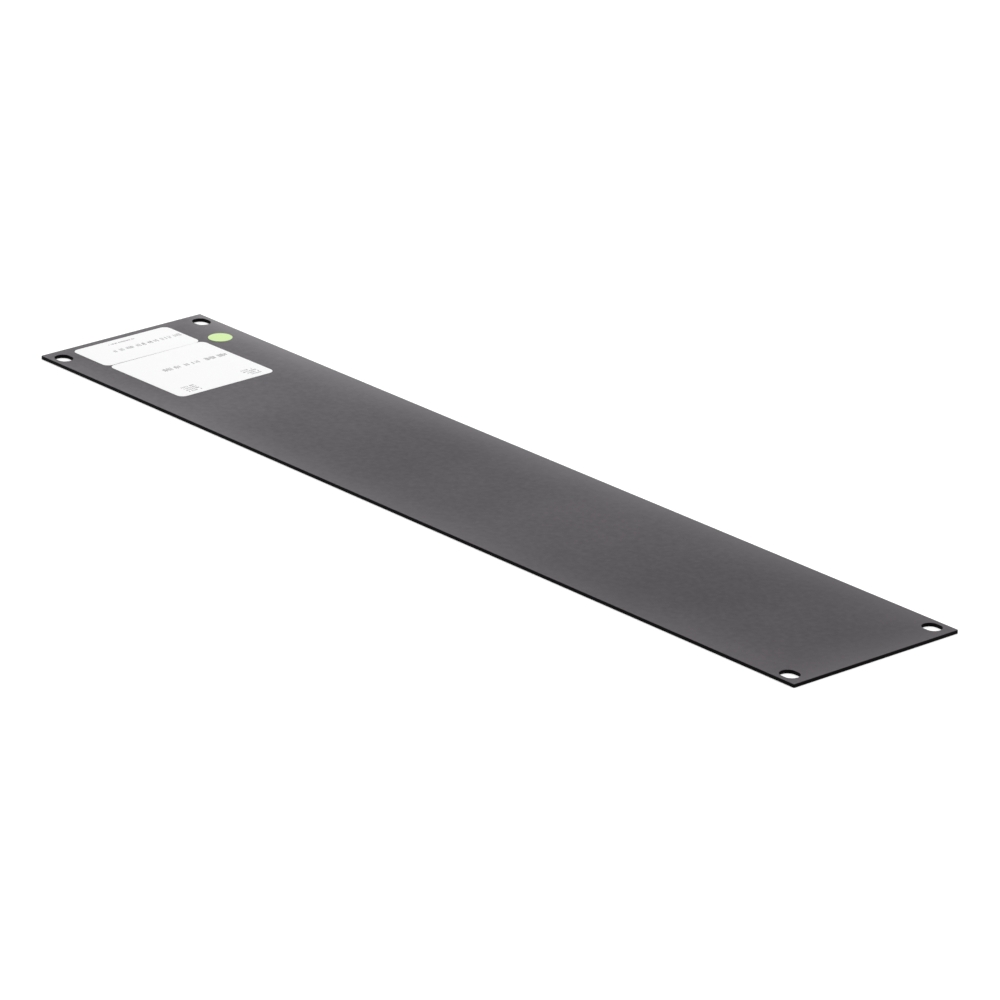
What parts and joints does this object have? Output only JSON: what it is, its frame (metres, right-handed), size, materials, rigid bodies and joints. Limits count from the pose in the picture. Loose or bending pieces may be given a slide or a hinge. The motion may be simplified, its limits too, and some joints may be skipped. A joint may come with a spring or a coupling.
{
  "type": "rack blanking panel",
  "caption": "Flat black powder-coated steel plate with an oblong hole near each corner, closing an empty space in a 19 inch rack. It lies flat, with paper labels on one end.",
  "frame": {"origin": "middle of the plain face, the one with no labels, which the panel lies on", "axes": "+X along the panel, with the labelled end at -X; +Y across it, towards the edge beside the round sticker; +Z through the sheet, out of the labelled face"},
  "size_m": [0.4826, 0.0882, 0.0018],
  "materials": {
    "powder_coated_steel": "fine satin black powder coat",
    "label_paper": "smooth matt white label stock",
    "sticker_film": "pale green matt film"
  },
  "bodies": {
    "root": {"panel": "powder_coated_steel", "identification_label": "label_paper", "stock_label": "label_paper", "inspection_dot": "sticker_film"}
  },
  "joints": []
}
